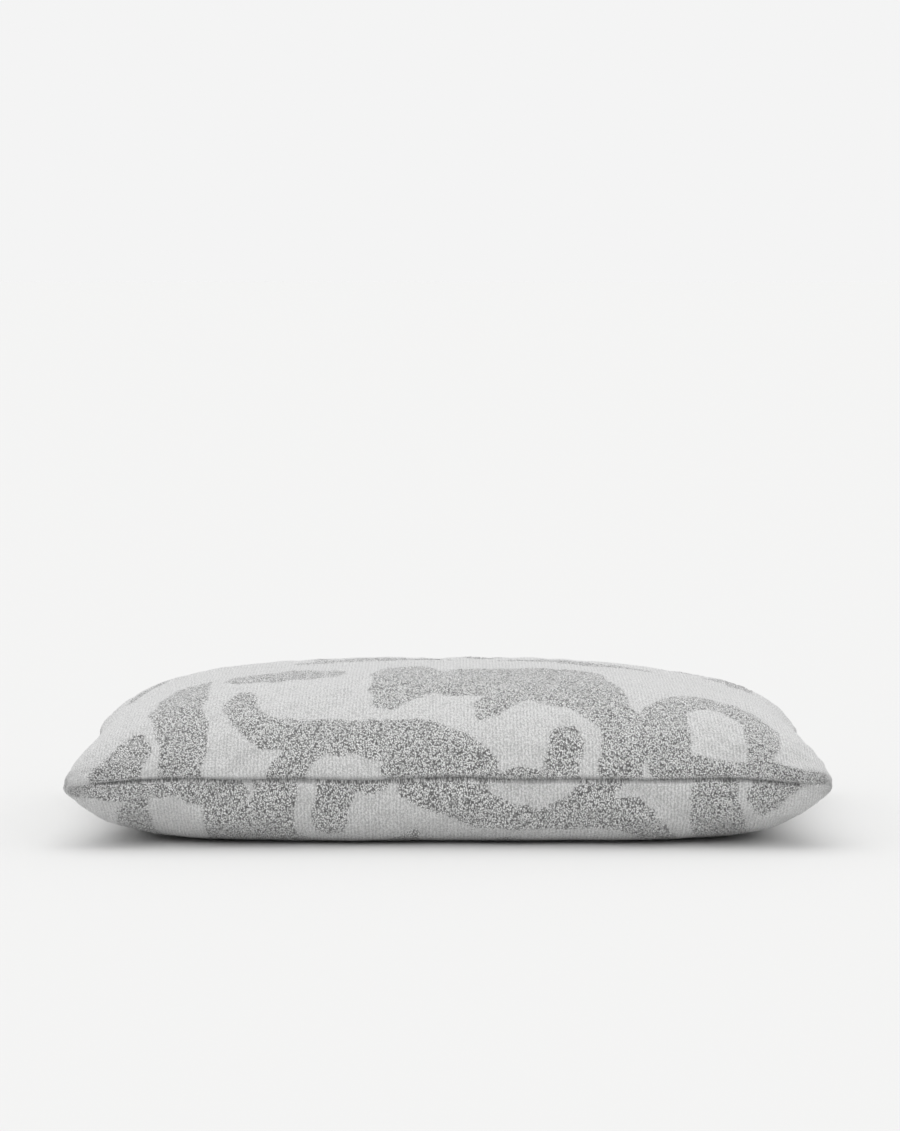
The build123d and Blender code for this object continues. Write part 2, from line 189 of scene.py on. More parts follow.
def smooth_form(side, s, t):
    """Points of the smooth pillow on the grid s, t. Side is 1 above the seam and -1 below it."""
    u, v = np.interp(s, ARC_X, PLAN), np.interp(t, ARC_Y, PLAN)
    x, y = plan_place(u, v)
    rim = rim_height(u, v)
    if side > 0:
        dip = SHOULDER_DIP * np.exp(-((x - SHOULDER_X) / SHOULDER_WIDTH) ** 2)
        base = crown_profile(u, TOP_EXPONENT, TOP_RISE) * crown_profile(v, TOP_EXPONENT, TOP_RISE)
        z = rim + rolled(u, v, (TOP_Z - CROWN_EASE - dip - rim) * base)
    else:
        base = crown_profile(u, BOTTOM_EXPONENT, BOTTOM_RISE)
        base = base * crown_profile(v, BOTTOM_EXPONENT, BOTTOM_RISE)
        z = rim - rolled(u, v, SAG * base)
        z = (z + np.sqrt(z * z + REST_BLEND ** 2)) / 2.0
    return np.stack([x, y, z], axis=-1)


def grid(cell, multiple=1, crowding=0.0):
    """Cut coordinates of a grid of about this cell size, its rows closer at the long edges."""
    columns = max(1, round(CUT_X / cell / multiple)) * multiple
    rows = max(1, round(CUT_Y / cell / multiple)) * multiple
    t = np.linspace(-1.0, 1.0, rows + 1)
    t = t + crowding * np.sin(math.pi * t) / math.pi
    return np.meshgrid(np.linspace(-1.0, 1.0, columns + 1), t)


# ---------------------------------------------------------------- cloth simulation
def envelope_faces(rows, columns):
    """Vertex numbers and faces of two grids that share their rim."""
    top = np.arange(rows * columns).reshape(rows, columns)
    bottom = top.copy()
    inner = (rows - 2) * (columns - 2)
    bottom[1:-1, 1:-1] = rows * columns + np.arange(inner).reshape(rows - 2, columns - 2)
    faces = []
    for numbers, order in ((top, (0, 1, 2, 3)), (bottom, (3, 2, 1, 0))):
        quads = np.stack(
            [numbers[:-1, :-1], numbers[:-1, 1:], numbers[1:, 1:], numbers[1:, :-1]], axis=-1
        )
        faces.append(quads.reshape(-1, 4)[:, order])
    return top, bottom, np.concatenate(faces)


def broad_part(shift):
    """The slow part of a displacement, which is left out because the smooth form sets the shape."""
    broad = shift.copy()
    for _ in range(CLOTH_SMOOTHING):
        around = broad[:-2, 1:-1] + broad[2:, 1:-1] + broad[1:-1, :-2] + broad[1:-1, 2:]
        broad[1:-1, 1:-1] = around / 4.0
    return broad


def settle_cloth():
    """Displacement of the two panels after the sewn envelope has settled, as two grids."""
    s, t = grid(CLOTH_CELL)
    start = {side: smooth_form(side, s, t) for side in (1, -1)}
    top, bottom, faces = envelope_faces(*s.shape)
    points = np.zeros((top.size + (bottom.shape[0] - 2) * (bottom.shape[1] - 2), 3))
    points[bottom.ravel()] = start[-1].reshape(-1, 3)
    points[top.ravel()] = start[1].reshape(-1, 3)
    mesh = bpy.data.meshes.new("cloth_envelope")
    mesh.from_pydata(points.tolist(), [], faces.tolist())
    cloth = bpy.data.objects.new("cloth_envelope", mesh)
    bpy.context.scene.collection.objects.link(cloth)
    rim = np.unique(np.concatenate([top[0], top[-1], top[:, 0], top[:, -1]]))
    cloth.vertex_groups.new(name="seam").add(rim.tolist(), 1.0, "REPLACE")

    ground_mesh = bpy.data.meshes.new("cloth_ground")
    corners = [(x, y, -GROUND_DROP) for x, y in ((-1, -1), (1, -1), (1, 1), (-1, 1))]
    ground_mesh.from_pydata(corners, [], [(0, 1, 2, 3)])
    ground = bpy.data.objects.new("cloth_ground", ground_mesh)
    bpy.context.scene.collection.objects.link(ground)
    ground.modifiers.new("collision", "COLLISION")
    ground.collision.thickness_outer = 0.002
    ground.collision.cloth_friction = 20.0

    modifier = cloth.modifiers.new("cloth", "CLOTH")
    modifier.settings.vertex_group_mass = "seam"
    for key, value in CLOTH_SETTINGS.items():
        setattr(modifier.settings, key, value)
    modifier.collision_settings.distance_min = 0.002
    modifier.collision_settings.use_self_collision = False
    modifier.point_cache.frame_start = 1
    modifier.point_cache.frame_end = CLOTH_FRAMES
    scene = bpy.context.scene
    scene.frame_start, scene.frame_end = 1, CLOTH_FRAMES
    for step in range(1, CLOTH_FRAMES + 1):
        scene.frame_set(step)
    settled = cloth.evaluated_get(bpy.context.evaluated_depsgraph_get())
    result = np.zeros(len(points) * 3)
    settled.data.vertices.foreach_get("co", result)
    result = result.reshape(-1, 3)
    for item in (cloth, ground):
        bpy.data.objects.remove(item, do_unlink=True)
    scene.frame_set(1)
    moved = {}
    for side, numbers in ((1, top), (-1, bottom)):
        shift = result[numbers] - start[side]
        shift = (shift - broad_part(shift)) * CLOTH_SHARE
        length = np.linalg.norm(shift, axis=-1, keepdims=True)
        moved[side] = shift * np.minimum(1.0, CLOTH_CAP / np.maximum(length, 1e-9))
    return moved


def spline_resample(values, axis, cut):
    """Catmull-Rom interpolation of evenly spaced values at cut coordinates along one axis."""
    values = np.moveaxis(values, axis, 0)
    last = values.shape[0] - 1
    place = (cut + 1.0) / 2.0 * last
    cell = np.clip(place.astype(int), 0, last - 1)
    f = (place - cell).reshape((-1,) + (1,) * (values.ndim - 1))
    before, after = values[np.maximum(cell - 1, 0)], values[np.minimum(cell + 2, last)]
    near, far = values[cell], values[cell + 1]
    result = near + 0.5 * f * (far - before + f * (
        2.0 * before - 5.0 * near + 4.0 * far - after + f * (3.0 * (near - far) + after - before)))
    return np.moveaxis(result, 0, axis)


# ---------------------------------------------------------------- jacquard motif
# Strokes of the grey yarn and of white yarn laid over it, on one panel, in millimetres:
# across from the middle, up from the front seam, and the stroke's half width. They were set
# while looking at the photograph. What lies behind the crown isn't in the photograph and is
# made up.
GREY_STROKES = (
    ((-212, 4, 17), (-205, 21, 12), (-203, 32, 5)),
    ((-170, -6, 13), (-172, 25, 15), (-178, 50, 18), (-180, 72, 18), (-178, 96, 15), (-172, 125, 10)),
    ((-136, 76, 8), (-136, 62, 12), (-132, 48, 13), (-118, 36, 12), (-85, 31, 14), (-55, 33, 15),
     (-25, 27, 18), (0, 18, 19), (18, 6, 17), (28, -6, 12)),
    ((-90, 24, 12), (-101, 8, 12), (-104, -6, 13)),
    ((-25, 8, 16), (15, 0, 16)),
    ((-28, 132, 20), (-26, 110, 26), (-30, 88, 24), (-38, 68, 11)),
    ((-20, 112, 22), (20, 108, 17), (60, 110, 22)),
    ((-10, 88, 13), (25, 86, 14), (50, 86, 20), (76, 88, 28), (92, 70, 15), (104, 54, 14)),
    ((44, 74, 13), (30, 60, 10), (21, 50, 4)),
    ((80, 104, 22), (84, 128, 16)),
    ((44, -4, 11), (62, -3, 10), (74, -3, 12), (75, 15, 12), (76, 30, 11)),
    ((112, -4, 13), (112, 30, 13), (112, 50, 14), (107, 74, 13), (105, 96, 9), (103, 124, 6)),
    ((140, -4, 17), (140, 20, 17), (140, 40, 17), (143, 54, 13), (152, 68, 12), (168, 77, 12),
     (186, 74, 11), (200, 62, 11), (204, 45, 12), (204, 28, 11), (202, 17, 8)),
    ((160, 7, 12), (180, 2, 8), (205, 5, 9), (226, 6, 7), (244, 4, 4)),
)
WHITE_STROKES = (
    ((-72, 4, 12), (-60, 9, 11), (-49, 5, 8)),
    ((131, -3, 4), (129, 13, 1)),
)
# White yarn that only the lower panel shows.
LOWER_WHITE_STROKES = (
    ((30, 6, 4), (44, 9, 8), (60, 10, 9), (74, 7, 5)),
)
# Strokes of the half of the panel that lies behind the crown.
REAR_GREY_STROKES = (
    ((-140, 124, 14), (-112, 126, 20), (-84, 122, 15)),
    ((-96, 190, 12), (-62, 200, 18), (-24, 194, 15), (2, 186, 9)),
    ((36, 182, 8), (58, 196, 15), (96, 200, 17), (128, 192, 12), (140, 184, 7)),
    ((10, 122, 14), (60, 130, 16), (94, 126, 14)),
    ((-226, 208, 8), (-216, 222, 13), (-208, 236, 9)),
    ((186, 206, 8), (204, 218, 13), (210, 238, 10)),
)
# White yarn over the strip just behind the crown, which shows as a pale edge from the front.
CROWN_WHITE_STROKES = (
    ((-150, 168, 16), (0, 172, 20), (150, 168, 18)),
)
REAR_SHIFT_MM = 20.0       # the turned strokes start farther back than the front ones
SOFTNESS_MM = 3.0
LOWER_SHIFT_MM = 11.0      # moves the motif of the lower panel's right part to where it is seen
LOWER_SHIFT_START_MM = -60.0
LOWER_SHIFT_RAMP_MM = 60.0


def stroke_distance(x, y, stroke):
    """Distance in millimetres to a stroke of round pens joined by straight tapers."""
    nearest = np.full(x.shape, 1e3)
    for (ax, ay, ar), (bx, by, br) in zip(stroke, stroke[1:]):
        length = (bx - ax) ** 2 + (by - ay) ** 2
        along = np.clip(((x - ax) * (bx - ax) + (y - ay) * (by - ay)) / length, 0.0, 1.0)
        reach = np.hypot(x - ax - along * (bx - ax), y - ay - along * (by - ay))
        nearest = np.minimum(nearest, reach - ar - along * (br - ar))
    return nearest


def blend_min(a, b):
    """Smallest of two distances, with the corner between them rounded."""
    near = np.maximum(SOFTNESS_MM - np.abs(a - b), 0.0) / SOFTNESS_MM
    return np.minimum(a, b) - near * near * SOFTNESS_MM / 4.0


def motif_distance(x, y, depth):
    """Below zero where the yarn is grey. Depth is the panel's size from front to rear."""
    x = x + 1.6 * np.sin(y / 9.0 + 0.7) + 0.8 * np.sin(y / 4.3)
    y = y + 1.4 * np.sin(x / 11.0) + 0.7 * np.sin(x / 5.1 + 1.0)
    grey = np.full(x.shape, 1e3)
    for stroke in GREY_STROKES + REAR_GREY_STROKES:
        grey = blend_min(grey, stroke_distance(x, y, stroke))
    for stroke in GREY_STROKES:
        grey = blend_min(grey, stroke_distance(-x, depth + REAR_SHIFT_MM - y, stroke))
    for stroke in WHITE_STROKES:
        grey = np.maximum(grey, -stroke_distance(x, y, stroke))
        grey = np.maximum(grey, -stroke_distance(-x, depth - y, stroke))
    for stroke in CROWN_WHITE_STROKES:
        grey = np.maximum(grey, -stroke_distance(x, y, stroke))
    return grey


# ---------------------------------------------------------------- meshes
def grid_normals(points, side):
    """Outward unit normals of a grid of points."""
    across = np.gradient(points, axis=1)
    along = np.gradient(points, axis=0)
    normal = np.cross(across, along) * side
    return normal / np.maximum(np.linalg.norm(normal, axis=-1, keepdims=True), 1e-12)


def blur(field, reach):
    """Periodic Gaussian blur of a grid of numbers, reach in cells along the rows and columns."""
    spectrum = np.fft.rfft2(field)
    fy = np.fft.fftfreq(field.shape[0])[:, None] * reach[0]
    fx = np.fft.rfftfreq(field.shape[1])[None, :] * reach[1]
    soft = np.fft.irfft2(spectrum * np.exp(-2.0 * (math.pi ** 2) * (fx ** 2 + fy ** 2)), field.shape)
    return soft / soft.std()


def ring(rows, columns):
    """Indices once round a grid's rim."""
    loop = [(0, j) for j in range(columns - 1)]
    loop += [(i, columns - 1) for i in range(rows - 1)]
    loop += [(rows - 1, j) for j in range(columns - 1, 0, -1)]
    loop += [(i, 0) for i in range(rows - 1, 0, -1)]
    return np.array(loop)


def shell_mesh(name, outer, inner, side):
    """Closed shell: a fine outer grid and a coarse inner grid, joined round their rims."""
    rows, columns = outer.shape[:2]
    few_rows, few_columns = inner.shape[:2]
    step = (columns - 1) // (few_columns - 1)
    out = np.arange(rows * columns).reshape(rows, columns)
    inn = out.size + np.arange(few_rows * few_columns).reshape(few_rows, few_columns)

    def quads(numbers, flip):
        q = np.stack([numbers[:-1, :-1], numbers[:-1, 1:], numbers[1:, 1:], numbers[1:, :-1]], -1)
        return q.reshape(-1, 4)[:, ::-1] if flip else q.reshape(-1, 4)

    faces = quads(out, side < 0).tolist() + quads(inn, side > 0).tolist()
    fine = [out[i, j] for i, j in ring(rows, columns)]
    coarse = [inn[i, j] for i, j in ring(few_rows, few_columns)]
    for k, here in enumerate(coarse):
        there = coarse[(k + 1) % len(coarse)]
        run = [fine[(k * step + n) % len(fine)] for n in range(step + 1)]
        half = step // 2
        fans = [(here, run[n + 1], run[n]) for n in range(half)]
        fans.append((here, there, run[half]))
        fans += [(there, run[n + 1], run[n]) for n in range(half, step)]
        faces += [face[::-1] if side < 0 else face for face in fans]
    mesh = bpy.data.meshes.new(name)
    points = np.concatenate([outer.reshape(-1, 3), inner.reshape(-1, 3)])
    mesh.from_pydata(points.tolist(), [], faces)
    mesh.shade_smooth()
    mesh.update()
    return mesh


def set_attribute(mesh, name, kind, values):
    """Stores one number or vector for each outer point. Inner points, out of sight, get zero."""
    values = np.asarray(values, np.float32)
    total = np.zeros((len(mesh.vertices),) + values.shape[1:], np.float32)
    total[: len(values)] = values
    attribute = mesh.attributes.new(name, kind, "POINT")
    attribute.data.foreach_set("value" if kind == "FLOAT" else "vector", total.ravel())


def add_piece(name, mesh, material, body):
    piece = bpy.data.objects.new(name, mesh)
    bpy.context.scene.collection.objects.link(piece)
    mesh.materials.append(material)
    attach(piece, body)
    return piece


# ---------------------------------------------------------------- node helpers
class Nodes:
    """A material's node tree, with short ways to add maths and textures."""

    def __init__(self, name):
        self.material = bpy.data.materials.new(name)
        self.material.use_nodes = True
        self.tree = self.material.node_tree
        self.shader = self.tree.nodes["Principled BSDF"]

    def add(self, kind, inputs=(), **settings):
        node = self.tree.nodes.new(kind)
        for key, value in settings.items():
            setattr(node, key, value)
        for key, value in dict(inputs).items():
            self.put(node.inputs[key], value)
        return node

    def put(self, socket, value):
        if isinstance(value, bpy.types.NodeSocket):
            self.tree.links.new(value, socket)
        else:
            socket.default_value = value

    def maths(self, operation, a, b=0.0, c=0.0):
        return self.add("ShaderNodeMath", {0: a, 1: b, 2: c}, operation=operation).outputs[0]

    def vector(self, operation, a, b):
        return self.add("ShaderNodeVectorMath", {0: a, 1: b}, operation=operation).outputs[0]

    def attribute(self, name, output):
        return self.add("ShaderNodeAttribute", attribute_name=name).outputs[output]

    def noise(self, vector, scale, detail=2.0, roughness=0.5):
        inputs = {"Vector": vector, "Scale": scale, "Detail": detail, "Roughness": roughness}
        return self.add("ShaderNodeTexNoise", inputs).outputs["Fac"]

    def cells(self, vector, scale, feature="F1", randomness=1.0):
        inputs = {"Vector": vector, "Scale": scale, "Randomness": randomness}
        return self.add("ShaderNodeTexVoronoi", inputs, feature=feature).outputs["Distance"]

    def span(self, value, low, high, start=0.0, end=1.0):
        inputs = {"Value": value, "From Min": low, "From Max": high, "To Min": start, "To Max": end}
        return self.add("ShaderNodeMapRange", inputs, interpolation_type="SMOOTHSTEP").outputs[0]

    def mix(self, factor, a, b):
        node = self.add("ShaderNodeMix", data_type="RGBA")
        self.put(node.inputs["Factor"], factor)
        self.put(node.inputs["A"], a)
        self.put(node.inputs["B"], b)
        return node.outputs["Result"]

    def scaled(self, colour, factor):
        """A colour made darker or lighter by a number."""
        spread = self.add("ShaderNodeCombineXYZ", {0: factor, 1: factor, 2: factor}).outputs[0]
        return self.vector("MULTIPLY", colour, spread)

    def bump(self, height, strength, distance):
        inputs = {"Height": height, "Strength": strength, "Distance": distance}
        return self.add("ShaderNodeBump", inputs).outputs["Normal"]

    def surface(self, **inputs):
        for key, value in inputs.items():
            self.put(self.shader.inputs[key.replace("_", " ")], value)


def grey_value(value):
    return (value, value, value * 0.995, 1.0)


# ---------------------------------------------------------------- materials
WHITE_YARN = (0.685, 0.685, 0.683)
GREY_YARN = (0.620, 0.620, 0.618)
GREY_TONE_AND_PAINTED_LIGHT = (0.22, 1.74)     # darkest and lightest grain of the grey yarn, times its colour: partly yarn tone, partly painted shade in the hollows and painted highlight on the loop tops
WHITE_TONE_AND_PAINTED_LIGHT = (0.66, 1.27)    # the same for the white yarn: partly yarn tone, partly painted shade in the hollows and painted light on the ridges
CONTACT_SHADE = 0.20           # share of the colour left where the painted contact shade is strongest
GRAIN_SCALE = 1080.0
CURL_SCALE = 1900.0
WALE_PITCH = 0.0023
RAGGED_MM = 5.0                # how far fine and broad noise move the motif's edge
WAVY_MM = 3.0
KNIT_BUMP = 0.0007
TWIST_PITCH = 0.0007           # of the sewing thread


def knit_material():
    """Two-tone jacquard knit: a boucle grain in the grey yarn, fine wales in the white yarn. Their
    colour is darker in the hollows and lighter on the tops, which is painted shade and highlight over
    some tone of the yarn. A painted contact shade darkens it just above the floor.
    """
    n = Nodes("jacquard_knit")
    cut = n.attribute("cut", "Vector")
    tone = n.attribute("tone", "Fac")
    ragged = n.maths("SUBTRACT", n.noise(cut, 620.0, 1.0), 0.5)
    broad = n.maths("SUBTRACT", n.noise(cut, 150.0, 1.0), 0.5)
    edge = n.maths("ADD", tone, n.maths("MULTIPLY", ragged, RAGGED_MM))
    edge = n.maths("ADD", edge, n.maths("MULTIPLY", broad, WAVY_MM))
    white = n.span(edge, -0.55, 0.55)

    grains = n.vector("MULTIPLY", cut, (1.0, 0.74, 1.0))
    loops = n.maths("SUBTRACT", 1.0, n.cells(grains, GRAIN_SCALE))
    fine = n.noise(grains, CURL_SCALE, 1.0, 0.5)
    curl = n.maths("ADD", n.maths("MULTIPLY", loops, 0.5), n.maths("MULTIPLY", fine, 0.6))
    grain = n.span(curl, 0.36, 0.76)
    # The colour follows the knit's height: painted shade in the hollows and painted highlight on the
    # loop tops, over some tone of the yarn.
    grey_tone_and_painted_light = n.span(grain, 0.0, 1.0, *GREY_TONE_AND_PAINTED_LIGHT)

    x = n.add("ShaderNodeSeparateXYZ", {0: cut}).outputs[0]
    sway = n.maths("MULTIPLY", n.noise(cut, 90.0, 1.0), 1.2)
    turn = n.maths("MULTIPLY", x, 2.0 * math.pi / WALE_PITCH)
    wale = n.maths("SINE", n.maths("ADD", turn, sway))
    wale = n.maths("MULTIPLY", wale, n.span(n.noise(cut, 330.0, 1.0), 0.30, 0.62))
    white_height = n.maths("ADD", n.maths("MULTIPLY", wale, 0.16), n.maths("MULTIPLY", grain, 0.5))
    # The white yarn's colour follows its height too: painted shade between the wales and in the
    # hollows, over some tone of the yarn.
    white_tone_and_painted_light = n.span(white_height, -0.16, 0.66, *WHITE_TONE_AND_PAINTED_LIGHT)

    grey = n.scaled(GREY_YARN, grey_tone_and_painted_light)
    pale = n.scaled(WHITE_YARN, white_tone_and_painted_light)
    # Painted contact shade: the colour is darkened in a band just above the floor.
    contact = n.span(n.attribute("painted_contact_shade_mask", "Fac"), 0.0, 1.0, 1.0, CONTACT_SHADE)
    colour = n.scaled(n.mix(white, grey, pale), contact)
    height = n.maths("ADD", n.maths("MULTIPLY", white_height, white),
                     n.maths("MULTIPLY", grain, n.maths("SUBTRACT", 1.0, white)))
    normal = n.bump(height, 1.0, KNIT_BUMP)
    n.surface(Base_Color=colour, Normal=normal, Roughness=0.95, Specular_IOR_Level=0.15,
              Sheen_Weight=0.8, Sheen_Roughness=0.5)
    return n.material


def woven_material(name, colour, pitch, depth, roughness=0.85, sheen=0.1):
    """Plain weave of two crossing sets of threads."""
    n = Nodes(name)
    place = n.add("ShaderNodeTexCoord").outputs["Object"]
    parts = n.add("ShaderNodeSeparateXYZ", {0: place}).outputs
    turn = 2.0 * math.pi / pitch
    warp = n.maths("SINE", n.maths("MULTIPLY", parts[0], turn))
    flat = n.maths("ADD", parts[1], parts[2])
    weft = n.maths("SINE", n.maths("MULTIPLY", flat, turn))
    height = n.maths("ADD", n.maths("MULTIPLY", n.maths("MULTIPLY", warp, weft), 0.5), 0.5)
    height = n.maths("ADD", height, n.maths("MULTIPLY", n.noise(place, 2200.0), 0.35))
    shade = n.maths("ADD", n.maths("MULTIPLY", height, 0.14), 0.88)
    n.surface(Base_Color=n.scaled(colour, shade), Normal=n.bump(height, 0.6, depth),
              Roughness=roughness, Specular_IOR_Level=0.25, Sheen_Weight=sheen)
    return n.material


def fibre_material(name, colour):
    """Carded fibre: fine tangled strands with soft hollows."""
    n = Nodes(name)
    place = n.add("ShaderNodeTexCoord").outputs["Object"]
    strands = n.noise(n.vector("MULTIPLY", place, (1.0, 0.35, 1.6)), 420.0, 4.0, 0.7)
    clumps = n.noise(place, 60.0, 2.0)
    shade = n.maths("ADD", n.maths("MULTIPLY", strands, 0.16), n.span(clumps, 0.3, 0.7, 0.80, 0.92))
    n.surface(Base_Color=n.scaled(colour, shade), Normal=n.bump(strands, 0.7, 0.0008),
              Roughness=0.97, Specular_IOR_Level=0.1, Sheen_Weight=0.3)
    return n.material


def thread_material(name, colour):
    """Spun sewing thread with its twist."""
    n = Nodes(name)
    place = n.add("ShaderNodeTexCoord").outputs["Object"]
    parts = n.add("ShaderNodeSeparateXYZ", {0: place}).outputs
    slant = n.maths("ADD", n.maths("ADD", parts[0], parts[1]), n.maths("MULTIPLY", parts[2], 1.7))
    twist = n.maths("SINE", n.maths("MULTIPLY", slant, 2.0 * math.pi / TWIST_PITCH))
    twist = n.maths("ADD", twist, n.maths("MULTIPLY", n.noise(place, 2600.0), 0.8))
    shade = n.maths("ADD", n.maths("MULTIPLY", twist, 0.05), 0.92)
    n.surface(Base_Color=n.scaled(colour, shade), Normal=n.bump(twist, 0.5, 0.00015),
              Roughness=0.7, Specular_IOR_Level=0.3, Sheen_Weight=0.1)
    return n.material


def nylon_material(name, colour):
    """Drawn nylon coil: half-gloss with faint draw lines."""
    n = Nodes(name)
    place = n.add("ShaderNodeTexCoord").outputs["Object"]
    lines = n.noise(n.vector("MULTIPLY", place, (1.0, 6.0, 6.0)), 700.0, 2.0)
    shade = n.maths("ADD", n.maths("MULTIPLY", lines, 0.08), 0.94)
    n.surface(Base_Color=n.scaled(colour, shade), Normal=n.bump(lines, 0.12, 0.0001),
              Roughness=n.span(lines, 0.2, 0.8, 0.30, 0.42), Specular_IOR_Level=0.5)
    return n.material


def enamel_material(name, colour):
    """Painted zinc: satin enamel, a little orange peel, darker in worn patches."""
    n = Nodes(name)
    place = n.add("ShaderNodeTexCoord").outputs["Object"]
    peel = n.noise(place, 1500.0, 2.0)
    wear = n.span(n.noise(place, 260.0, 3.0, 0.65), 0.58, 0.74)
    shade = n.maths("SUBTRACT", 1.0, n.maths("MULTIPLY", wear, 0.16))
    n.surface(Base_Color=n.scaled(colour, shade), Normal=n.bump(peel, 0.10, 0.0001),
              Roughness=n.span(wear, 0.0, 1.0, 0.28, 0.45), Specular_IOR_Level=0.6,
              Coat_Weight=0.3, Coat_Roughness=0.2)
    return n.material


KNIT = knit_material()
CASING = woven_material("insert_nonwoven", (0.80, 0.80, 0.79), 0.0008, 0.0001, 0.9)
FILL = fibre_material("polyester_fibre", (0.86, 0.86, 0.85))
TAPE = woven_material("zip_tape_weave", (0.66, 0.655, 0.64), 0.0009, 0.00015)
THREAD = thread_material("sewing_thread", (0.70, 0.695, 0.68))
NYLON = nylon_material("zip_nylon", (0.70, 0.695, 0.68))
ENAMEL = enamel_material("zip_enamel", (0.64, 0.635, 0.62))
SATIN = woven_material("label_satin_weave", (0.84, 0.84, 0.83), 0.0005, 0.00005, 0.45, 0.3)


# ---------------------------------------------------------------- cover
OPENING_LOW = TAPE_LOW.x + 0.001
OPENING_HIGH = TAPE_HIGH.x - 0.001
OPENING_END = 0.004        # length over which the lips close at each end
LIP_HALF = 0.0048
LIP_TUCK = 0.0022          # how far the lips turn in towards the tape
LIP_REACH = 0.012          # how far into the panel the lips are felt
GROOVE_REACH = 0.0009      # half width of the drawn-in seam
GROOVE_DEPTH = 0.0052
GROOVE_CORNER = 0.006      # the groove starts this far from a corner
GROOVE_RAMP = 0.03         # and is full after this much more
LOOP_RELIEF = 0.00008      # of the white yarn's loops
GREY_RELIEF = 0.00014      # more for the grey yarn's
LUMP_RELIEF = 0.00012      # of soft lumps in the filling
PUCKER_RELIEF = 0.00028    # more of them beside the seam
PUCKER_REACH = 0.016
RELIEF_LOW = -0.0010
RELIEF_HIGH = 0.0008
RELIEF_FADE = 0.004        # the relief is half at the seam and full at this distance
# The contact band is shade painted into the colour, just above the floor, to come nearer the
# photograph's dark contact line. It is not a property of the cloth.
CONTACT_HEIGHT = 0.0075
REST_GAP = 0.0006          # cloth lower than this rests on the floor and has no band


def edge_distances(s, t):
    """Distance along the cloth to the nearest seam and to the rear edge."""
    side_way = (1.0 - np.abs(s)) * CUT_X / 2.0
    end_way = (1.0 - np.abs(t)) * CUT_Y / 2.0
    return np.minimum(side_way, end_way), (1.0 - t) * CUT_Y / 2.0


def panel_tone(side, s, points):
    """Distance in millimetres to the grey yarn, at each point of a panel's smooth form."""
    steps = np.linalg.norm(np.diff(points, axis=0), axis=-1)
    up_mm = np.concatenate([np.zeros((1, s.shape[1])), np.cumsum(steps, axis=0)]) / MM
    across_mm = np.interp(s, ARC_X, PLAN) * HALF_X / MM
    if side > 0:
        return motif_distance(across_mm, up_mm, up_mm[-1:, :])
    ramp = smooth_step((across_mm - LOWER_SHIFT_START_MM) / LOWER_SHIFT_RAMP_MM)
    shifted_mm = up_mm + LOWER_SHIFT_MM * ramp
    tone = motif_distance(-across_mm, shifted_mm, shifted_mm[-1:, :])
    for stroke in LOWER_WHITE_STROKES:
        tone = np.maximum(tone, -stroke_distance(across_mm, up_mm, stroke))
    return tone


def draw_in_seam(points, normal, seam_way):
    """Draws the seam in between the two piles, less so at the corners."""
    corner_way = np.hypot(HALF_X - np.abs(points[..., 0]), HALF_Y - np.abs(points[..., 1]))
    groove = np.exp(-(seam_way / GROOVE_REACH) ** 2)
    groove = groove * smooth_step((corner_way - GROOVE_CORNER) / GROOVE_RAMP)
    points -= normal * (GROOVE_DEPTH * groove)[..., None] * np.array([1.0, 1.0, 0.0])


def part_lips(side, points, rear_way):
    """Stands the cover's edge off along the zip. Returns how much, from 0 to 1."""
    ends = smooth_step((points[..., 0] - OPENING_LOW) / OPENING_END)
    ends = ends * smooth_step((OPENING_HIGH - points[..., 0]) / OPENING_END)
    parted = ends * np.exp(-(rear_way / LIP_REACH) ** 2)
    points[..., 2] += side * LIP_HALF * parted
    points[..., 1] -= LIP_TUCK * parted
    return parted


def knit_relief(tone, seam_way, parted, random):
    """Height of the knit: coarse loops in the grey yarn, finer ones in the white yarn."""
    grey = smooth_step(0.5 - tone / 2.0)
    loops = blur(random.standard_normal(tone.shape), (0.60, 0.45))
    lumps = blur(random.standard_normal(tone.shape), (9.0, 7.0))
    fade = smooth_step(seam_way / RELIEF_FADE)
    pucker = LUMP_RELIEF + PUCKER_RELIEF * np.exp(-(seam_way / PUCKER_REACH) ** 2)
    relief = loops * (LOOP_RELIEF + GREY_RELIEF * grey) + lumps * pucker
    return np.clip(relief, RELIEF_LOW, RELIEF_HIGH) * (0.5 + 0.5 * fade) * (1.0 - 0.7 * parted)


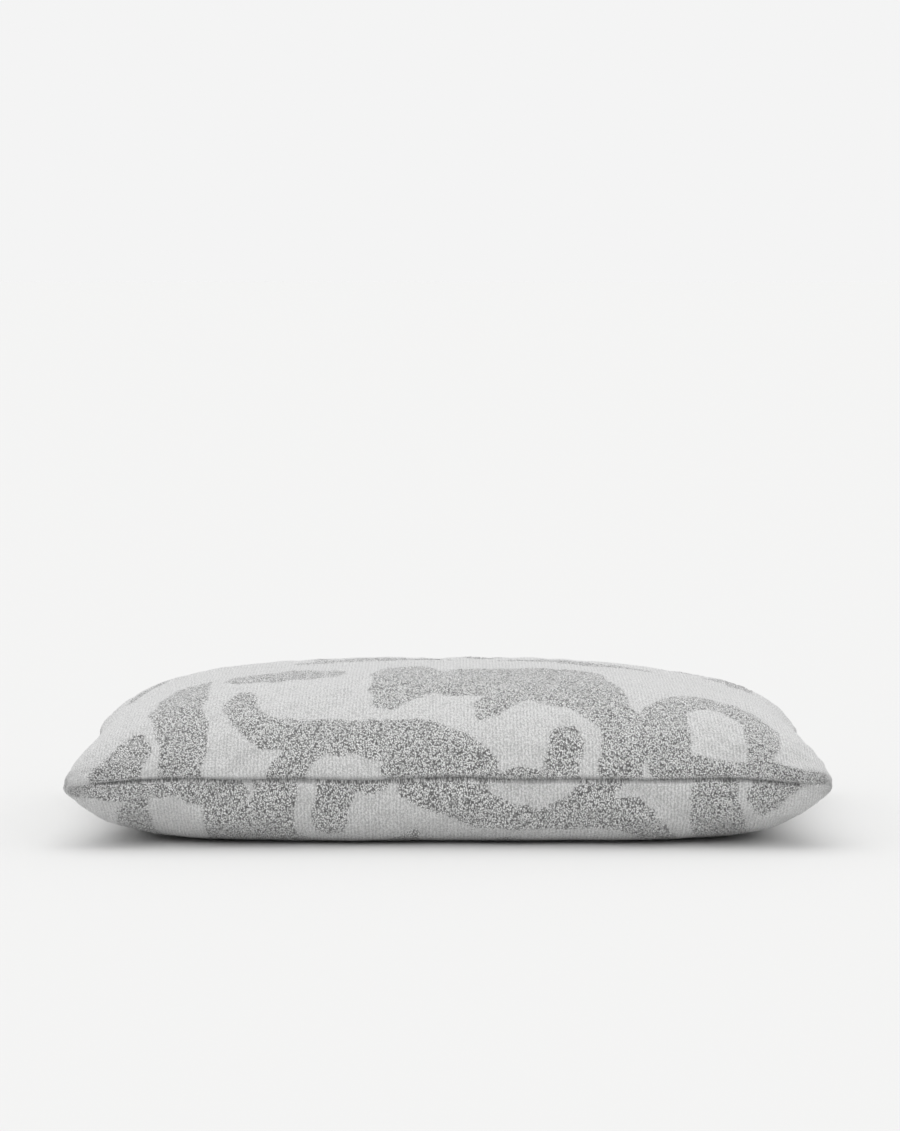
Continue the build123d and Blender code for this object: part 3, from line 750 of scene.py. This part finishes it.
def cover_panel(side, moved, random):
    """One panel: its settled form, the drawn-in seam, the zip lip and the knit's relief."""
    s, t = grid(FINE_CELL, SHELL_STEP, ROW_CROWDING)
    points = smooth_form(side, s, t)
    tone = panel_tone(side, s, points)
    shift = spline_resample(spline_resample(moved, 0, t[:, 0]), 1, s[0])
    points = points + shift * smooth_step((points[..., 2:] - CLOTH_FREE_Z) / CLOTH_FULL_Z)
    normal = grid_normals(points, side)
    seam_way, rear_way = edge_distances(s, t)
    draw_in_seam(points, normal, seam_way)
    parted = part_lips(side, points, rear_way)
    points += normal * knit_relief(tone, seam_way, parted, random)[..., None]
    points[..., 2] = np.maximum(points[..., 2], 0.0)

    inner = points[::SHELL_STEP, ::SHELL_STEP] - normal[::SHELL_STEP, ::SHELL_STEP] * COVER_THICK
    rim = np.ones(inner.shape[:2], bool)
    rim[1:-1, 1:-1] = False
    inner[..., 2] = np.where(rim, points[::SHELL_STEP, ::SHELL_STEP, 2], inner[..., 2])
    name = "cover_top_knit" if side > 0 else "cover_bottom_knit"
    mesh = shell_mesh(name, points, inner, side)
    cut = np.stack([s * CUT_X / 2.0, t * CUT_Y / 2.0, np.full(s.shape, side * 0.5)], axis=-1)
    set_attribute(mesh, "tone", "FLOAT", np.clip(tone, -6.0, 6.0).ravel())
    set_attribute(mesh, "cut", "FLOAT_VECTOR", cut.reshape(-1, 3))
    # Painted contact shade: strongest just above the floor, none where the cloth rests on it.
    painted_contact_shade_mask = smooth_step(1.0 - points[..., 2] / CONTACT_HEIGHT)
    painted_contact_shade_mask = painted_contact_shade_mask * smooth_step((points[..., 2] - REST_GAP) / REST_GAP)
    set_attribute(mesh, "painted_contact_shade_mask", "FLOAT", painted_contact_shade_mask.ravel())
    piece = add_piece(name, mesh, KNIT, BODY)
    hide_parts("cover_top_panel" if side > 0 else "cover_bottom_panel")
    return piece


def fitted_form(side, low, high, cell):
    """The smooth form, scaled to the half of a CAD box above or below the seam."""
    s, t = grid(cell)
    points = smooth_form(side, s, t)
    flat_low, flat_high = points.min(axis=(0, 1)), points.max(axis=(0, 1))
    points[..., 0] = np.interp(points[..., 0], (flat_low[0], flat_high[0]), (low.x, high.x))
    points[..., 1] = np.interp(points[..., 1], (flat_low[1], flat_high[1]), (low.y, high.y))
    rise = np.abs(points[..., 2] - SEAM_Z) / np.abs(points[..., 2] - SEAM_Z).max()
    reach = high.z - SEAM_Z if side > 0 else SEAM_Z - low.z
    points[..., 2] = SEAM_Z + side * rise * reach
    return points


def make_insert():
    """The insert pad: two nonwoven casing halves, sewn round the edge, and their filling."""
    random = np.random.default_rng(SEED + 1)
    for side, node in ((1, "insert_casing_top"), (-1, "insert_casing_bottom")):
        low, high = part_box(node)
        outer = fitted_form(side, low, high, INSERT_CELL)
        dimples = blur(random.standard_normal(outer.shape[:2]), (2.4, 2.4))
        dimples = INSERT_DIMPLE * np.clip(dimples, -1.0, 1.0)
        dimples[[0, -1]] = 0.0
        dimples[:, [0, -1]] = 0.0
        outer -= grid_normals(outer, side) * np.abs(dimples)[..., None]
        inner = outer - grid_normals(outer, side) * CASING_THICK
        mesh = shell_mesh(node + "_cloth", outer, inner, side)
        piece = add_piece(node + "_cloth", mesh, CASING, BODY)
        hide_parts(node)
    low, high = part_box("insert_fill")
    top = fitted_form(1, low, high, INSERT_CELL)
    bottom = fitted_form(-1, low, high, INSERT_CELL)
    mesh = bpy.data.meshes.new("insert_fibre")
    top_numbers, bottom_numbers, faces = envelope_faces(*top.shape[:2])
    points = np.zeros((bottom_numbers.max() + 1, 3))
    points[bottom_numbers.ravel()] = bottom.reshape(-1, 3)
    points[top_numbers.ravel()] = top.reshape(-1, 3)
    mesh.from_pydata(points.tolist(), [], faces.tolist())
    mesh.shade_smooth()
    piece = add_piece("insert_fibre", mesh, FILL, BODY)
    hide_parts("insert_fill")


def coil_mesh(name, low, high, phase):
    """Closed helix of round wire that fills a box along x."""
    turns = round((high.x - low.x) / COIL_PITCH)
    count = turns * COIL_STEPS + 1
    turn = np.linspace(0.0, 1.0, count)
    angle = 2.0 * math.pi * turns * turn + phase
    half_y = (high.y - low.y) / 2.0 - COIL_WIRE
    half_z = (high.z - low.z) / 2.0 - COIL_WIRE
    centre = np.stack([
        low.x + COIL_WIRE + (high.x - low.x - 2.0 * COIL_WIRE) * turn,
        (low.y + high.y) / 2.0 + half_y * np.cos(angle),
        (low.z + high.z) / 2.0 + half_z * np.sin(angle),
    ], axis=-1)
    along = np.gradient(centre, axis=0)
    along /= np.linalg.norm(along, axis=-1, keepdims=True)
    outward = np.stack([np.zeros(count), np.cos(angle), np.sin(angle)], axis=-1)
    outward -= along * np.sum(outward * along, axis=-1, keepdims=True)
    outward /= np.linalg.norm(outward, axis=-1, keepdims=True)
    beside = np.cross(along, outward)
    corner = 2.0 * math.pi * np.arange(COIL_SIDES) / COIL_SIDES
    offset = outward[:, None] * np.cos(corner)[:, None] + beside[:, None] * np.sin(corner)[:, None]
    points = (centre[:, None] + COIL_WIRE * offset).reshape(-1, 3)
    ring_numbers = np.arange(count * COIL_SIDES).reshape(count, COIL_SIDES)
    following = np.roll(ring_numbers, -1, axis=1)
    quads = np.stack([ring_numbers[:-1], following[:-1], following[1:], ring_numbers[1:]], -1)
    faces = quads.reshape(-1, 4).tolist()
    faces += [ring_numbers[0][::-1].tolist(), ring_numbers[-1].tolist()]
    mesh = bpy.data.meshes.new(name)
    mesh.from_pydata(points.tolist(), [], faces)
    mesh.shade_smooth()
    return mesh


def make_coils():
    for node, phase in (("zip_coil_upper", 0.0), ("zip_coil_lower", math.pi)):
        low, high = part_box(node)
        mesh = coil_mesh(node + "_wire", low, high, phase)
        piece = add_piece(node + "_wire", mesh, NYLON, BODY)
        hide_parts(node)


def make_cover():
    random = np.random.default_rng(SEED)
    moved = settle_cloth()
    for side in (1, -1):
        cover_panel(side, moved[side], random)


# ---------------------------------------------------------------- CAD nodes that stay
def dress(node, material):
    """Gives a CAD node that stays its own finish."""
    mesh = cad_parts[node].data
    mesh.materials.clear()
    mesh.materials.append(material)


def dress_cad_nodes():
    finishes = {
        THREAD: ("cover_seam_thread", "cover_overlock_thread", "insert_seam_thread",
                 "zip_stitching_upper", "zip_stitching_lower", "zip_end_bartacks"),
        TAPE: ("zip_tape_upper", "zip_tape_lower", "zip_core_cord_upper", "zip_core_cord_lower"),
        ENAMEL: ("zip_slider_body", "zip_pull_tab", "zip_top_stops", "zip_bottom_stop"),
        SATIN: ("care_label",),
    }
    for material, nodes in finishes.items():
        for node in nodes:
            dress(node, material)


# ---------------------------------------------------------------- studio
# Camera and form were fitted together; distances of 1.8, 2.7 and 4.0 m were tried.
CAMERA_DISTANCE = 2.7       # from the front edge
CAMERA_X = 0.0013
CAMERA_HEIGHT = 0.384
CAMERA_PITCH = 0.0737       # radians below level
CAMERA_LENS = 133.45        # millimetres, with 36 mm across the picture's long side
BACKDROP = 0.905
ROOM = 0.90                 # the room's brightness behind the camera
FLOOR_TONE = 0.75
SUN_POWER = 0.98
SUN_SPREAD = 70.0           # degrees
SUN_TILT = (-8.0, -6.0)     # degrees about x and y
FLOOR_REACH = 60.0


def studio_world():
    """A pale backdrop beyond the pillow and a large soft light behind the camera."""
    world = bpy.data.worlds.new("studio")
    world.use_nodes = True
    nodes, links = world.node_tree.nodes, world.node_tree.links
    place = nodes.new("ShaderNodeTexCoord")
    parts = nodes.new("ShaderNodeSeparateXYZ")
    fade = nodes.new("ShaderNodeMapRange")
    fade.interpolation_type = "SMOOTHSTEP"
    fade.inputs["From Min"].default_value = -0.5
    fade.inputs["From Max"].default_value = 0.8
    fade.inputs["To Min"].default_value = ROOM
    fade.inputs["To Max"].default_value = BACKDROP
    links.new(place.outputs["Generated"], parts.inputs[0])
    links.new(parts.outputs["Y"], fade.inputs["Value"])
    background = nodes["Background"]
    background.inputs["Color"].default_value = (1.0, 1.0, 1.0, 1.0)
    links.new(fade.outputs["Result"], background.inputs["Strength"])
    return world


def make_camera(scene):
    camera_data = bpy.data.cameras.new("camera")
    camera_data.sensor_width = 36.0
    camera_data.lens = CAMERA_LENS
    camera_data.clip_end = 200.0
    camera = bpy.data.objects.new("camera", camera_data)
    camera.location = (CAMERA_X, -HALF_Y - CAMERA_DISTANCE, CAMERA_HEIGHT)
    camera.rotation_euler = (math.pi / 2.0 - CAMERA_PITCH, 0.0, 0.0)
    scene.collection.objects.link(camera)
    scene.camera = camera


def make_sun(scene):
    sun_data = bpy.data.lights.new("overhead_softbox", "SUN")
    sun_data.energy = SUN_POWER
    sun_data.angle = math.radians(SUN_SPREAD)
    sun = bpy.data.objects.new("overhead_softbox", sun_data)
    sun.rotation_euler = (math.radians(SUN_TILT[0]), math.radians(SUN_TILT[1]), 0.0)
    scene.collection.objects.link(sun)


def make_floor(scene):
    floor_mesh = bpy.data.meshes.new("floor")
    signs = ((-1, -1), (1, -1), (1, 1), (-1, 1))
    corners = [(x * FLOOR_REACH, y * FLOOR_REACH, 0.0) for x, y in signs]
    floor_mesh.from_pydata(corners, [], [(0, 1, 2, 3)])
    floor = bpy.data.objects.new("floor", floor_mesh)
    n = Nodes("studio_floor")
    n.surface(Base_Color=grey_value(FLOOR_TONE), Roughness=1.0, Specular_IOR_Level=0.0)
    floor_mesh.materials.append(n.material)
    scene.collection.objects.link(floor)


def make_studio():
    scene = bpy.context.scene
    scene.view_settings.view_transform = "Standard"
    make_camera(scene)
    scene.world = studio_world()
    make_sun(scene)
    make_floor(scene)


make_studio()
make_cover()
make_insert()
make_coils()
dress_cad_nodes()
